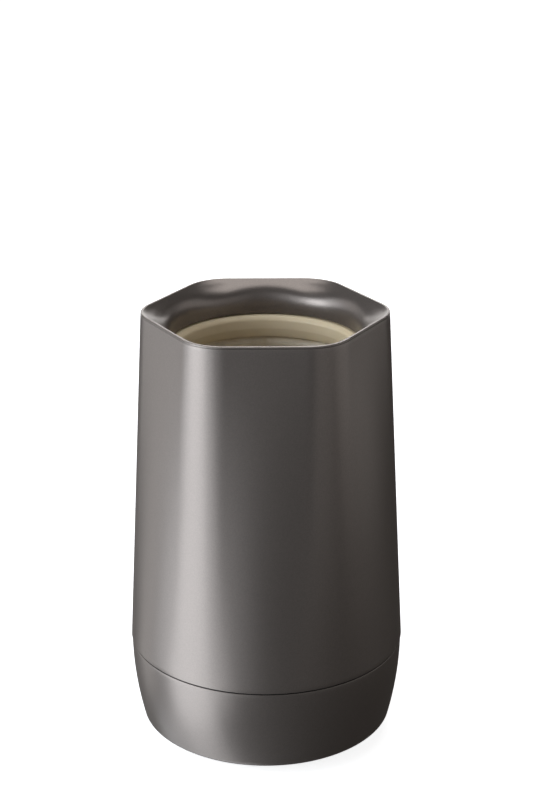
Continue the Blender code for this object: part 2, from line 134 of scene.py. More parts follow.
TWIST_ANGLE = 30.0                  # degrees from unlocked to locked
LUG_COUNT = 3
CELL_COUNT = 8
FLOOR_TOP_Z = TRAY_BOTTOM_Z - GAP
CORE_FLANGE_TOP_Z = SEAM_Z - 1.0 * MM
BOSS_RADIUS = 4.2 * MM
SCREW_SHANK_RADIUS = 1.5 * MM
SCREW_HOLE_RADIUS = 1.8 * MM
SCREW_HEAD_RADIUS = 3.1 * MM
SCREW_HEAD_BOTTOM_Z = 12.9 * MM
SOCKET_DEPTH = 0.7 * MM
THREAD_PITCH = 0.6 * MM
THREAD_DEPTH = 0.3 * MM

# How fine the meshes are
AROUND = 288
AROUND_HIDDEN = 144
SHARP_ANGLE = radians(40)
TOOL_REACH = 1.0 * MM               # how far a cutting tool reaches past what it cuts
TOOL_STEP = 0.1 * MM                # keeps the faces of two cutting tools apart


# Mesh helpers

def new_object(name, bm):
    """An object from a finished bmesh, which is freed."""
    bmesh.ops.recalc_face_normals(bm, faces=bm.faces)
    mesh = bpy.data.meshes.new(name)
    bm.to_mesh(mesh)
    bm.free()
    obj = bpy.data.objects.new(name, mesh)
    bpy.context.scene.collection.objects.link(obj)
    return obj


def smooth(mesh):
    mesh.shade_smooth()
    mesh.set_sharp_from_angle(angle=SHARP_ANGLE)


def loft(name, rings, closed):
    """Faces between rings of points. A ring of one point is a tip on the axis."""
    bm = bmesh.new()
    rows = [[bm.verts.new(point) for point in ring] for ring in rings]
    pairs = list(zip(rows, rows[1:]))
    if closed:
        pairs.append((rows[-1], rows[0]))
    for upper, lower in pairs:
        count = max(len(upper), len(lower))
        for i in range(count):
            j = (i + 1) % count
            if len(upper) == 1:
                bm.faces.new((upper[0], lower[i], lower[j]))
            elif len(lower) == 1:
                bm.faces.new((upper[i], lower[0], upper[j]))
            else:
                bm.faces.new((upper[i], lower[i], lower[j], upper[j]))
    obj = new_object(name, bm)
    smooth(obj.data)
    return obj


def circle(radius, z, count):
    """A ring of points, or the one point on the axis where the radius is 0."""
    if radius <= 0:
        return [(0.0, 0.0, z)]
    return [(radius * cos(tau * i / count), radius * sin(tau * i / count), z) for i in range(count)]


def rounded(corners, closed, steps=4):
    """A polyline whose corners (a, b, radius) are replaced by arcs."""
    count = len(corners)
    points = []
    for i, (a, b, radius) in enumerate(corners):
        at_end = not closed and i in (0, count - 1)
        if radius <= 0 or at_end:
            points.append((a, b))
            continue
        corner = Vector((a, b))
        back = Vector(corners[i - 1][:2]) - corner
        ahead = Vector(corners[(i + 1) % count][:2]) - corner
        half = back.angle(ahead) / 2
        reach = min(radius / tan(half), 0.49 * back.length, 0.49 * ahead.length)
        radius = reach * tan(half)
        start = corner + back.normalized() * reach
        end = corner + ahead.normalized() * reach
        centre = corner + (back.normalized() + ahead.normalized()).normalized() * (radius / sin(half))
        for step in range(steps + 1):
            share = step / steps
            direction = (start - centre).normalized().slerp((end - centre).normalized(), share)
            points.append(tuple(centre + direction * radius))
    return points


def turned(name, corners, closed, count=AROUND_HIDDEN):
    """A turned piece from a profile of (radius, z, corner radius)."""
    return loft(name, [circle(r, z, count) for r, z in rounded(corners, closed)], closed)


def spread(start, end, steps):
    """Places from start to end, both included."""
    return [start + (end - start) * step / steps for step in range(steps + 1)]


def sector(name, inner, outer, bottom, top, start, end, steps=16):
    """A closed block that follows a ring, with angles in degrees, as a tool for a Boolean."""
    bm = bmesh.new()
    angle = radians(start)
    corners = ((inner, bottom), (outer, bottom), (outer, top), (inner, top))
    face = bm.faces.new([bm.verts.new((r * cos(angle), r * sin(angle), z)) for r, z in corners])
    bmesh.ops.spin(bm, geom=[face, *face.edges, *face.verts], axis=(0, 0, 1), cent=(0, 0, 0),
                   angle=radians(end - start), steps=steps, use_duplicate=False)
    return new_object(name, bm)


def combine(obj, tools, operation):
    """Cuts or joins obj with the tools, applies the result and removes the tools."""
    for tool in tools:
        modifier = obj.modifiers.new(tool.name, 'BOOLEAN')
        modifier.operation = operation
        modifier.object = tool
        modifier.solver = 'EXACT'
    bpy.context.view_layer.update()
    evaluated = obj.evaluated_get(bpy.context.evaluated_depsgraph_get())
    mesh = bpy.data.meshes.new_from_object(evaluated)
    obj.modifiers.clear()
    obj.data = mesh
    smooth(mesh)
    for tool in tools:
        bpy.data.objects.remove(tool)


# The housing's section: a circle at the parting line, a soft hexagon at the rim

HEX = cos(pi / 6)
RIM_ROUNDING = (RIM_FLAT_RADIUS - HEX * RIM_CORNER_RADIUS) / (1 - HEX)


def hexagon_distance(angle, corner_radius, rounding):
    """Distance from the axis to a soft hexagon whose corners are at 0, 60, 120... degrees."""
    from_corner = (angle + pi / 6) % (pi / 3) - pi / 6
    centre = corner_radius - rounding
    arc_ends_at = atan2(rounding / 2, centre + rounding * HEX)
    if abs(from_corner) <= arc_ends_at:
        across = centre * sin(from_corner)
        return centre * cos(from_corner) + sqrt(rounding ** 2 - across ** 2)
    return (centre * HEX + rounding) / cos(pi / 6 - abs(from_corner))


def skin_ring(z, inset=0.0):
    """The outer skin's section at a height: a ruled blend from circle to soft hexagon."""
    blend = (z - SEAM_Z) / (HEIGHT - SEAM_Z)
    points = []
    for i in range(AROUND):
        angle = tau * i / AROUND
        corner = hexagon_distance(angle, RIM_CORNER_RADIUS - inset, RIM_ROUNDING - inset)
        radius = (1 - blend) * (SEAM_RADIUS - inset) + blend * corner
        points.append((radius * cos(angle), radius * sin(angle), z))
    return points


def between(ring_a, ring_b, share):
    """The ring a share of the way from ring a to ring b."""
    return [tuple(a + (b - a) * share for a, b in zip(point_a, point_b))
            for point_a, point_b in zip(ring_a, ring_b)]


def funnel_ring(top_ring, foot_ring, share):
    """The funnel's section a share of the way in: a gentle shelf, then a rounded shoulder."""
    shoulder = 1 - (1 - share ** FUNNEL_ROUNDNESS) ** (1 / FUNNEL_ROUNDNESS)
    fall = FUNNEL_SLOPE * share + (1 - FUNNEL_SLOPE) * shoulder
    top_z = top_ring[0][2]
    foot_z = foot_ring[0][2]
    z = top_z + (foot_z - top_z) * fall
    return [(x, y, z) for x, y, _ in between(top_ring, foot_ring, share)]


def make_outer_shell():
    """The outer skin. Its lower edge is crisp, so that the parting line reads as a fine dark gap."""
    top = LIP_BOTTOM_Z - 0.1 * MM
    edge = 2.0 * MM
    side = [(0.0, z, 0.0) for z in spread(top - edge, SEAM_Z + edge, 36)]
    corners = [
        (0.0, top, 0.15 * MM),
        *side,
        (0.0, SEAM_Z, 0.15 * MM),
        (SHELL_WALL, SEAM_Z, 0.2 * MM),
        (SHELL_WALL, top, 0.2 * MM),
    ]
    return loft("shell_skin", [skin_ring(z, inset) for inset, z in rounded(corners, True)], True)


def make_inner_collar():
    """The rim's lip, the funnel and the round throat, with the rib that sits on the liner."""
    throat_edge_z = THROAT_Z + 0.7 * MM
    rib_bottom = LINER_TOP_Z + GAP
    lip = rounded([
        (SHELL_WALL + GAP, LIP_BOTTOM_Z, 0.0),
        (0.0, LIP_BOTTOM_Z, 0.12 * MM),
        (0.0, HEIGHT, 0.5 * MM),
        (1.1 * MM, HEIGHT, 0.5 * MM),
        (2.3 * MM, HEIGHT - 0.8 * MM, 0.0),
    ], False, steps=6)
    rings = [skin_ring(z, inset) for inset, z in lip]
    funnel_top = rings[-1]
    funnel_foot = circle(THROAT_RADIUS, throat_edge_z, AROUND)
    for turn in spread(0.0, pi / 2, 24)[1:]:
        share = min(1.0, sin(turn) ** (2 / FUNNEL_ROUNDNESS))
        rings.append(funnel_ring(funnel_top, funnel_foot, share))
    back_top = skin_ring(HEIGHT - 2.9 * MM, SHELL_WALL + 2 * GAP)
    back_foot = circle(THROAT_RADIUS + 2.5 * MM, THROAT_Z + 5.5 * MM, AROUND)
    throat = rounded([
        (THROAT_RADIUS, throat_edge_z, 0.0),
        (THROAT_RADIUS + 0.05 * MM, THROAT_Z, 0.4 * MM),
        (THROAT_RADIUS + 1.3 * MM, THROAT_Z, 0.2 * MM),
        (THROAT_RADIUS + 3.0 * MM, THROAT_Z + 3.3 * MM, 0.3 * MM),
        (LINER_INNER + GAP, rib_bottom, 0.2 * MM),
        (LINER_OUTER, rib_bottom, 0.2 * MM),
        (LINER_OUTER, rib_bottom + 1.8 * MM, 0.0),
    ], False)
    rings += [circle(r, z, AROUND) for r, z in throat[1:]]
    rings += [funnel_ring(back_top, back_foot, share) for share in spread(1.0, 0.0, 12)]
    return loft("rim_collar", rings, True)


def make_inner_liner():
    """The tube behind the cooling sleeve, with a flange that sits on the locking ring."""
    flange_top = LINER_BOTTOM_Z + LINER_FLANGE
    return turned("liner_tube", [
        (LINER_OUTER, LINER_TOP_Z, 0.3 * MM),
        (LINER_OUTER, flange_top, 1.0 * MM),
        (LOCK_RING_OUTER, flange_top, 0.3 * MM),
        (LOCK_RING_OUTER, LINER_BOTTOM_Z, 0.3 * MM),
        (LINER_INNER, LINER_BOTTOM_Z, 0.5 * MM),
        (LINER_INNER, LINER_TOP_Z, 0.3 * MM),
    ], True)


def make_bayonet_ring():
    """The ring that closes the double wall below, with an L-shaped slot for each lug."""
    flange_top = LOCK_RING_BOTTOM_Z + LOCK_RING_FLANGE
    ring = turned("lock_ring", [
        (LOCK_RING_OUTER, LOCK_RING_TOP_Z, 0.3 * MM),
        (LOCK_RING_OUTER, flange_top, 0.8 * MM),
        (LOCK_FLANGE_RADIUS, flange_top, 0.3 * MM),
        (LOCK_FLANGE_RADIUS, LOCK_RING_BOTTOM_Z, 0.4 * MM),
        (LOCK_RING_INNER, LOCK_RING_BOTTOM_Z, 0.5 * MM),
        (LOCK_RING_INNER, LOCK_RING_TOP_Z, 0.4 * MM),
    ], True)
    slot_top = LUG_TOP_Z + ROOM_OVER_LUG
    slot_inner = LOCK_RING_INNER - TOOL_REACH
    tools = []
    for index in range(LUG_COUNT):
        angle = 360.0 * index / LUG_COUNT
        tools.append(sector(
            f"entry_{index}", slot_inner, SLOT_RADIUS,
            LOCK_RING_BOTTOM_Z - TOOL_REACH, slot_top,
            angle - SLOT_HALF_ANGLE, angle + SLOT_HALF_ANGLE))
        tools.append(sector(
            f"run_{index}", slot_inner + TOOL_STEP, SLOT_RADIUS - TOOL_STEP,
            LUG_BOTTOM_Z - ROOM_UNDER_LUG, slot_top - TOOL_STEP,
            angle - SLOT_HALF_ANGLE - TWIST_ANGLE, angle))
    combine(ring, tools, 'DIFFERENCE')
    return ring


# Base

def cup_side(inset, steps):
    """Side of the cup, top to bottom: slightly bowed, then a superellipse corner to the underside."""
    edge = 2.0 * MM
    power = 2 / CUP_ROUNDNESS
    flat_radius = CUP_FLAT_RADIUS - inset / 2
    flat_z = CUP_UNDERSIDE_Z + inset

    def side_radius(z):
        return CUP_TOP_RADIUS - inset - CUP_BOW * (CUP_TOP_Z - z) ** 2

    points = [(side_radius(z), z, 0.0) for z in spread(CUP_TOP_Z - edge, CUP_CORNER_Z, steps)[:-1]]
    for turn in spread(0.0, pi / 2, steps):
        z = CUP_CORNER_Z - (CUP_CORNER_Z - flat_z) * sin(turn) ** power
        reach = (side_radius(z) - flat_radius) * max(cos(turn), 0.0) ** power
        points.append((flat_radius + reach, z, 0.0))
    return points


def screw_places():
    """Number, x and y of each screw."""
    for index in range(1, 4):
        node = f"base_screw_{index}"
        yield index, (low(node).x + high(node).x) / 2, (low(node).y + high(node).y) / 2


def rod(name, radius, bottom, top, x, y, count=32):
    """An upright rod, as a tool for a Boolean."""
    tool = loft(name, [
        [(0.0, 0.0, top)],
        circle(radius, top, count),
        circle(radius, bottom, count),
        [(0.0, 0.0, bottom)],
    ], False)
    tool.data.transform(Matrix.Translation((x, y, 0.0)))
    return tool


def make_base_cup():
    """The rounded cup. A fine edge at its top catches the light along the parting line."""
    recess_radius = FOOT_RADIUS + GAP
    recess_z = FOOT_TOP_Z + GAP
    floor_top = recess_z + CUP_WALL
    boss_top = CORE_BOTTOM_Z - GAP
    outer = cup_side(0.0, 30)
    inner = cup_side(CUP_WALL, 12)
    corners = [
        (0.0, floor_top, 0.0),
        (recess_radius - 1 * MM, floor_top, 1.0 * MM),
        *reversed(inner),
        (CUP_TOP_RADIUS - CUP_WALL, CUP_TOP_Z - 2.8 * MM, 0.3 * MM),
        (CUP_TOP_RADIUS - 0.4 * MM, CUP_TOP_Z, 0.1 * MM),
        (CUP_TOP_RADIUS, CUP_TOP_Z, 0.2 * MM),
        *outer,
        (recess_radius, CUP_UNDERSIDE_Z, 0.2 * MM),
        (recess_radius, recess_z, 0.2 * MM),
        (0.0, recess_z, 0.0),
    ]
    cup = turned("cup_skin", corners, False, AROUND)
    boss_root = floor_top - 0.8 * MM
    hole_bottom = SCREW_TIP_Z - 0.8 * MM
    hole_top = CORE_BOTTOM_Z + TOOL_REACH
    bosses = [rod(f"boss_{index}", BOSS_RADIUS, boss_root, boss_top, x, y)
              for index, x, y in screw_places()]
    combine(cup, bosses, 'UNION')
    holes = [rod(f"boss_hole_{index}", SCREW_HOLE_RADIUS, hole_bottom, hole_top, x, y)
             for index, x, y in screw_places()]
    combine(cup, holes, 'DIFFERENCE')
    return cup


def make_base_core():
    """The dish with the spigot that guides the housing, its flange, lugs and screw holes."""
    flange_bottom = CORE_FLANGE_TOP_Z - CORE_FLANGE
    core = turned("spigot_dish", [
        (0.0, FLOOR_TOP_Z, 0.0),
        (SPIGOT_INNER, FLOOR_TOP_Z, 0.15 * MM),
        (SPIGOT_INNER, SPIGOT_TOP_Z, 0.5 * MM),
        (SPIGOT_OUTER, SPIGOT_TOP_Z, 0.6 * MM),
        (SPIGOT_OUTER, CORE_FLANGE_TOP_Z, 0.8 * MM),
        (CORE_FLANGE_RADIUS, CORE_FLANGE_TOP_Z, 0.4 * MM),
        (CORE_FLANGE_RADIUS, flange_bottom, 0.3 * MM),
        (SPIGOT_OUTER, flange_bottom, 0.8 * MM),
        (SPIGOT_OUTER, CORE_BOTTOM_Z, 0.6 * MM),
        (0.0, CORE_BOTTOM_Z, 0.0),
    ], False)
    lug_root = SPIGOT_OUTER - 0.9 * MM
    lugs = []
    for index in range(LUG_COUNT):
        angle = 360.0 * index / LUG_COUNT
        lugs.append(sector(f"lug_{index}", lug_root, LUG_RADIUS, LUG_BOTTOM_Z, LUG_TOP_Z,
                           angle - LUG_HALF_ANGLE, angle + LUG_HALF_ANGLE))
    combine(core, lugs, 'UNION')
    holes = []
    for index, x, y in screw_places():
        holes.append(rod(f"hole_{index}", SCREW_HOLE_RADIUS,
                         CORE_BOTTOM_Z - TOOL_REACH, FLOOR_TOP_Z + TOOL_REACH, x, y))
        holes.append(rod(f"head_room_{index}", SCREW_HEAD_RADIUS + GAP,
                         SCREW_HEAD_BOTTOM_Z - GAP, FLOOR_TOP_Z + TOOL_REACH + 2 * TOOL_STEP, x, y))
    combine(core, holes, 'DIFFERENCE')
    return core


def make_screw(index, x, y):
    """A flat-headed screw with a rounded head edge, a hexagonal socket and a cut thread."""
    count = 36
    thread_top = SCREW_HEAD_BOTTOM_Z - THREAD_PITCH
    run_out = 1.2 * MM
    point = 1.3 * MM
    tip_share = 0.25

    def hexagon(reach, z):
        ring = []
        for i in range(count):
            angle = tau * i / count
            radius = reach * HEX / cos(pi / 6 - abs((angle + pi / 6) % (pi / 3) - pi / 6))
            ring.append((radius * cos(angle), radius * sin(angle), z))
        return ring

    def thread(z):
        """One turn of thread for each pitch, fading out at the tip and under the head."""
        fade = min(1.0, (thread_top - z) / THREAD_PITCH, (z - SCREW_TIP_Z) / run_out)
        ring = []
        for i in range(count):
            turn = (z / THREAD_PITCH - i / count) % 1.0
            depth = THREAD_DEPTH * (1 - abs(turn * 2 - 1)) * max(0.0, fade)
            taper = min(1.0, tip_share + (z - SCREW_TIP_Z) / point)
            radius = SCREW_SHANK_RADIUS * taper - depth
            ring.append((radius * cos(tau * i / count), radius * sin(tau * i / count), z))
        return ring

    socket = SCREW_HEAD_RADIUS * 0.45
    socket_mouth = socket * 1.12
    socket_floor = SCREW_HEAD_TOP_Z - SOCKET_DEPTH
    head = rounded([
        (socket_mouth, SCREW_HEAD_TOP_Z, 0.0),
        (SCREW_HEAD_RADIUS, SCREW_HEAD_TOP_Z, 0.4 * MM),
        (SCREW_HEAD_RADIUS, SCREW_HEAD_BOTTOM_Z, 0.15 * MM),
        (SCREW_SHANK_RADIUS, SCREW_HEAD_BOTTOM_Z, 0.0),
    ], False)
    rings = [
        [(0.0, 0.0, socket_floor - 0.1 * MM)],
        hexagon(socket, socket_floor),
        hexagon(socket, SCREW_HEAD_TOP_Z - 0.12 * MM),
    ]
    rings += [circle(r, z, count) for r, z in head]
    rings += [thread(z) for z in spread(SCREW_HEAD_BOTTOM_Z - THREAD_PITCH / 2, SCREW_TIP_Z, 56)]
    rings.append([(0.0, 0.0, SCREW_TIP_Z)])
    screw = loft(f"socket_screw_{index}", rings, False)
    screw.data.transform(Matrix.Translation((x, y, 0.0)))
    return screw


def make_base_gasket():
    inner = GASKET_OUTER - GASKET_WIDTH
    return turned("seal_ring", [
        (GASKET_OUTER, GASKET_TOP_Z, 0.35 * MM),
        (GASKET_OUTER, GASKET_BOTTOM_Z, 0.2 * MM),
        (inner, GASKET_BOTTOM_Z, 0.2 * MM),
        (inner, GASKET_TOP_Z, 0.35 * MM),
    ], True)


def make_foot():
    """A soft disc with concentric grips under it."""
    groove_depth = 0.35 * MM
    groove_edge = 0.1 * MM
    corners = [
        (0.0, FOOT_TOP_Z, 0.0),
        (FOOT_RADIUS, FOOT_TOP_Z, 0.2 * MM),
        (FOOT_RADIUS, 0.0, 0.5 * MM),
    ]
    for radius in spread(FOOT_RADIUS - 3 * MM, 10 * MM, 8):
        corners += [
            (radius, 0.0, groove_edge),
            (radius - 0.4 * MM, groove_depth, groove_edge),
            (radius - 1.0 * MM, groove_depth, groove_edge),
            (radius - 1.4 * MM, 0.0, groove_edge),
        ]
    corners.append((0.0, 0.0, 0.0))
    return turned("foot_pad", corners, False)


# Tray

def make_drip_tray():
    """A shallow dish with three low rings round the mat and the ledge that the sleeve stands on."""
    floor = MAT_BOTTOM_Z - GAP
    ledge = SLEEVE_RADIUS - 2.0 * MM
    ring_height = 0.5 * MM
    ring_edge = 0.2 * MM
    corners = [(0.0, floor, 0.0)]
    for radius in spread(MAT_RADIUS + 1.3 * MM, MAT_RADIUS + 4.9 * MM, 2):
        corners += [
            (radius - 0.5 * MM, floor, ring_edge),
            (radius - 0.2 * MM, floor + ring_height, ring_edge),
            (radius + 0.2 * MM, floor + ring_height, ring_edge),
            (radius + 0.5 * MM, floor, ring_edge),
        ]
    corners += [
        (ledge, floor, 0.4 * MM),
        (ledge + 0.6 * MM, TRAY_RIM_Z, 0.3 * MM),
        (SLEEVE_RADIUS, TRAY_RIM_Z, 0.4 * MM),
        (SLEEVE_RADIUS, TRAY_BOTTOM_Z, 0.4 * MM),
        (0.0, TRAY_BOTTOM_Z, 0.0),
    ]
    return turned("tray_dish", corners, False, AROUND)


def make_bottle_mat():
    """A soft disc with radial ridges between two rings, so that drips run off under the bottle."""
    ridge = 0.45 * MM
    base_top = MAT_TOP_Z - ridge
    rim = MAT_RADIUS - 1 * MM
    spokes = 24
    rounds = ((0.92, 0.035), (0.18, 0.05))      # middle and half width, as shares of the mat's radius
    spokes_from = 0.22
    spokes_to = 0.88

    def height(radius, angle):
        share = radius / MAT_RADIUS
        ring = sum(max(0.0, 1 - ((share - middle) / half) ** 2) for middle, half in rounds)
        wave = 0.5 + 0.5 * cos(angle * spokes)
        inside = 1.0 if spokes_from < share < spokes_to else 0.0
        return base_top + ridge * min(1.0, ring + inside * max(0.0, wave * 1.8 - 0.8))

    rings = []
    for radius in [0.0, *spread(2 * MM, rim, 66)]:
        ring = circle(radius, 0.0, AROUND)
        rings.append([(x, y, height(radius, atan2(y, x))) for x, y, _ in ring])
    edge = rounded([
        (rim, base_top, 0.0),
        (MAT_RADIUS, base_top, 0.5 * MM),
        (MAT_RADIUS, MAT_BOTTOM_Z, 0.3 * MM),
        (0.0, MAT_BOTTOM_Z, 0.0),
    ], False)
    rings += [circle(r, z, AROUND) for r, z in edge[1:]]
    return loft("seat_mat", rings, False)


# Cooling sleeve

def make_top_ring():
    """The pale ring under the throat, with a soft inner lip that guides the bottle."""
    lip = WELL_RADIUS - 1.0 * MM
    return turned("pale_top_ring", [
        (SLEEVE_RADIUS, SLEEVE_TOP_Z, 1.2 * MM),
        (SLEEVE_RADIUS, TOP_RING_BOTTOM_Z, 0.3 * MM),
        (WELL_RADIUS, TOP_RING_BOTTOM_Z, 0.5 * MM),
        (lip, TOP_RING_BOTTOM_Z + 4.0 * MM, 2.0 * MM),
        (lip, SLEEVE_TOP_Z - 1.6 * MM, 2.0 * MM),
        (WELL_RADIUS + 0.8 * MM, SLEEVE_TOP_Z, 2.0 * MM),
    ], True, AROUND)


def make_bottom_ring():
    """The lower ring of the sleeve, which stands on the tray's ledge."""
    return turned("pale_bottom_ring", [
        (SLEEVE_RADIUS, BOTTOM_RING_TOP_Z, 0.4 * MM),
        (SLEEVE_RADIUS, SLEEVE_BOTTOM_Z, 1.0 * MM),
        (WELL_RADIUS, SLEEVE_BOTTOM_Z, 1.0 * MM),
        (WELL_RADIUS, BOTTOM_RING_TOP_Z, 0.4 * MM),
    ], True, AROUND)


def pillow(angle, z):
    """How far a film stands off the weld, from 0 on a weld to 1 in the middle of a gel cell.

    The film puckers beside each weld, in short creases that die out towards the middle of the cell.
    """
    pitch = tau / CELL_COUNT
    weld_starts = 0.965                         # share of a cell's half width
    end_weld = 1.5 * MM
    creases_per_metre = 190.0
    across = abs((angle % pitch) / pitch * 2 - 1)
    middle = (FILM_TOP_Z + FILM_BOTTOM_Z) / 2
    along = min(1.0, abs(z - middle) / ((FILM_TOP_Z - FILM_BOTTOM_Z) / 2 - end_weld))
    edge_across = max(0.0, 1 - (across / weld_starts) ** 3)
    edge_along = max(0.0, 1 - along ** 26)
    cell = int(angle % tau / pitch)
    pucker = noise.noise((z * creases_per_metre, cell * 7.3, across * 1.5)) * across ** 4
    return sqrt(edge_across) * sqrt(edge_along) * (0.9 + 0.3 * pucker)


def make_film(name, side, crown_radius):
    """One film of the sleeve, drawn in to the weld between the cells. side is 1 outside, -1 inside."""
    weld_radius = WELD_RADIUS + side * (FILM_WALL / 2 + 0.1 * MM)
    heights = spread(FILM_TOP_Z, FILM_BOTTOM_Z, 150)

    def ring(z, shift):
        points = []
        for i in range(AROUND):
            angle = tau * i / AROUND
            radius = weld_radius + (crown_radius - weld_radius) * pillow(angle, z) + shift
            points.append((radius * cos(angle), radius * sin(angle), z))
        return points

    back = -side * FILM_WALL / 2
    rings = [ring(z, 0.0) for z in heights] + [ring(z, back) for z in reversed(heights)]
    return loft(name, rings, True)


def make_gel_cell(index):
    """A crowned gel pack that fills one pocket between the films."""
    pitch = tau / CELL_COUNT
    margin = 0.07                               # share of the pitch left free at each side
    end_room = 3.5 * MM
    crown_height = SLEEVE_RADIUS - WELD_RADIUS - 1.1 * MM
    first_angle = pitch * (index - 1 + margin)
    last_angle = pitch * (index - margin)
    heights = spread(FILM_TOP_Z - end_room, FILM_BOTTOM_Z + end_room, 48)
    angles = spread(first_angle, last_angle, 24)
    bm = bmesh.new()
    points = {}
    for side in (1, -1):
        for i, z in enumerate(heights):
            for j, angle in enumerate(angles):
                on_edge = i in (0, len(heights) - 1) or j in (0, len(angles) - 1)
                if side == -1 and on_edge:
                    points[side, i, j] = points[1, i, j]
                    continue
                crown = 0.0 if on_edge else crown_height * pillow(angle, z)
                radius = WELD_RADIUS + side * crown
                points[side, i, j] = bm.verts.new((radius * cos(angle), radius * sin(angle), z))
        for i in range(len(heights) - 1):
            for j in range(len(angles) - 1):
                corners = ((i, j), (i + 1, j), (i + 1, j + 1), (i, j + 1))
                bm.faces.new([points[side, row, column] for row, column in corners])
    obj = new_object(f"gel_pack_{index}", bm)
    obj.data.shade_smooth()
    return obj


# Materials

class Nodes:
    """A material's node tree, with short calls for the nodes used here."""

    def __init__(self, name):
        self.material = bpy.data.materials.new(name)
        self.material.use_nodes = True
        self.tree = self.material.node_tree
        self.shader = self.tree.nodes["Principled BSDF"]
        self.place = self.add('ShaderNodeTexCoord').outputs["Object"]

    def add(self, kind, **settings):
        node = self.tree.nodes.new(kind)
        for key, value in settings.items():
            setattr(node, key, value)
        return node

    def link(self, source, target):
        self.tree.links.new(source, target)

    def stretched(self, scale):
        mapping = self.add('ShaderNodeMapping')
        mapping.inputs["Scale"].default_value = scale
        self.link(self.place, mapping.inputs["Vector"])
        return mapping.outputs["Vector"]

    def noise(self, scale, detail=3.0, roughness=0.5, place=None):
        node = self.add('ShaderNodeTexNoise')
        node.inputs["Scale"].default_value = scale
        node.inputs["Detail"].default_value = detail
        node.inputs["Roughness"].default_value = roughness
        self.link(place or self.place, node.inputs["Vector"])
        return node.outputs["Fac"]

    def cells(self, scale):
        node = self.add('ShaderNodeTexVoronoi')
        node.inputs["Scale"].default_value = scale
        self.link(self.place, node.inputs["Vector"])
        return node.outputs["Color"]

    def remap(self, source, to_low, to_high, from_low=0.3, from_high=0.7):
        node = self.add('ShaderNodeMapRange')
        node.inputs["From Min"].default_value = from_low
        node.inputs["From Max"].default_value = from_high
        node.inputs["To Min"].default_value = to_low
        node.inputs["To Max"].default_value = to_high
        self.link(source, node.inputs["Value"])
        return node.outputs["Result"]

    def ramp(self, source, *stops):
        """A color ramp between two stops, each a position and a color."""
        node = self.add('ShaderNodeValToRGB')
        for element, (position, color) in zip(node.color_ramp.elements, stops):
            element.position = position
            element.color = (*color, 1.0)
        self.link(source, node.inputs["Fac"])
        return node.outputs["Color"]

    def bump(self, height, strength, distance, normal=None):
        node = self.add('ShaderNodeBump')
        node.inputs["Strength"].default_value = strength
        node.inputs["Distance"].default_value = distance
        self.link(height, node.inputs["Height"])
        if normal is not None:
            self.link(normal, node.inputs["Normal"])
        return node.outputs["Normal"]

    def set(self, **values):
        for key, value in values.items():
            self.shader.inputs[key.replace("_", " ")].default_value = value

    def feed(self, name, source):
        self.link(source, self.shader.inputs[name])


def shade(color, factor):
    """A color made lighter or darker."""
    return tuple(channel * factor for channel in color)


PLASTIC_DARK = (0.045, 0.043, 0.041)
PLASTIC_LIGHT = (0.065, 0.062, 0.06)
RUBBER_DARK = (0.018, 0.018, 0.018)
RUBBER_LIGHT = (0.045, 0.044, 0.042)
GRAPHITE = (0.217, 0.190, 0.174)
CREAM_DARK = (0.76, 0.63, 0.42)
CREAM_LIGHT = (0.83, 0.70, 0.49)
# The film's tone in its crease hollows, darker as painted shade, and on their crests
FILM_CREASE_SHADE = (0.66, 0.57, 0.43)
FILM_LIGHT = (0.76, 0.67, 0.52)
GEL_DARK = (0.22, 0.42, 0.55)
GEL_LIGHT = (0.42, 0.60, 0.68)
ZINC_DARK = (0.52, 0.53, 0.55)
ZINC_LIGHT = (0.70, 0.70, 0.69)


def graphite_satin():
    """Dark warm metallic paint: fine flakes, a faint orange peel and slightly uneven gloss."""
    n = Nodes("graphite_satin")
    flakes = n.cells(2600.0)
    n.feed("Base Color", n.ramp(flakes, (0.0, shade(GRAPHITE, 0.93)), (1.0, shade(GRAPHITE, 1.07))))
    n.set(Metallic=0.72)
    n.feed("Roughness", n.remap(n.noise(14.0, 4.0), 0.31, 0.35))
    peel = n.bump(n.noise(420.0, 2.0), 0.05, 0.0002)
    n.feed("Normal", n.bump(n.noise(3200.0, 1.0), 0.04, 0.0001, peel))
    return n.material


def inner_plastic():
    """Dark moulded plastic with a spark-eroded grain."""
    n = Nodes("inner_plastic")
    n.feed("Base Color", n.ramp(n.noise(60.0, 5.0), (0.3, PLASTIC_DARK), (0.7, PLASTIC_LIGHT)))
    n.feed("Roughness", n.remap(n.noise(500.0), 0.42, 0.6))
    n.feed("Normal", n.bump(n.noise(2400.0, 2.0), 0.25, 0.0002))
    return n.material


def soft_rubber():
    """Matte black rubber with a dusty grain."""
    n = Nodes("soft_rubber")
    n.feed("Base Color", n.ramp(n.noise(900.0, 4.0), (0.3, RUBBER_DARK), (0.75, RUBBER_LIGHT)))
    n.feed("Roughness", n.remap(n.noise(200.0), 0.7, 0.92))
    n.feed("Normal", n.bump(n.noise(2600.0, 3.0), 0.3, 0.0002))
    return n.material


def pale_plastic():
    """Cream satin plastic, slightly translucent, with a fine grain."""
    n = Nodes("pale_plastic")
    n.feed("Base Color", n.ramp(n.noise(25.0, 4.0), (0.3, CREAM_DARK), (0.7, CREAM_LIGHT)))
    n.feed("Roughness", n.remap(n.noise(300.0), 0.38, 0.5))
    n.set(Subsurface_Weight=0.08, Subsurface_Radius=(0.004, 0.003, 0.002))
    n.feed("Normal", n.bump(n.noise(1800.0, 2.0), 0.12, 0.0002))
    return n.material


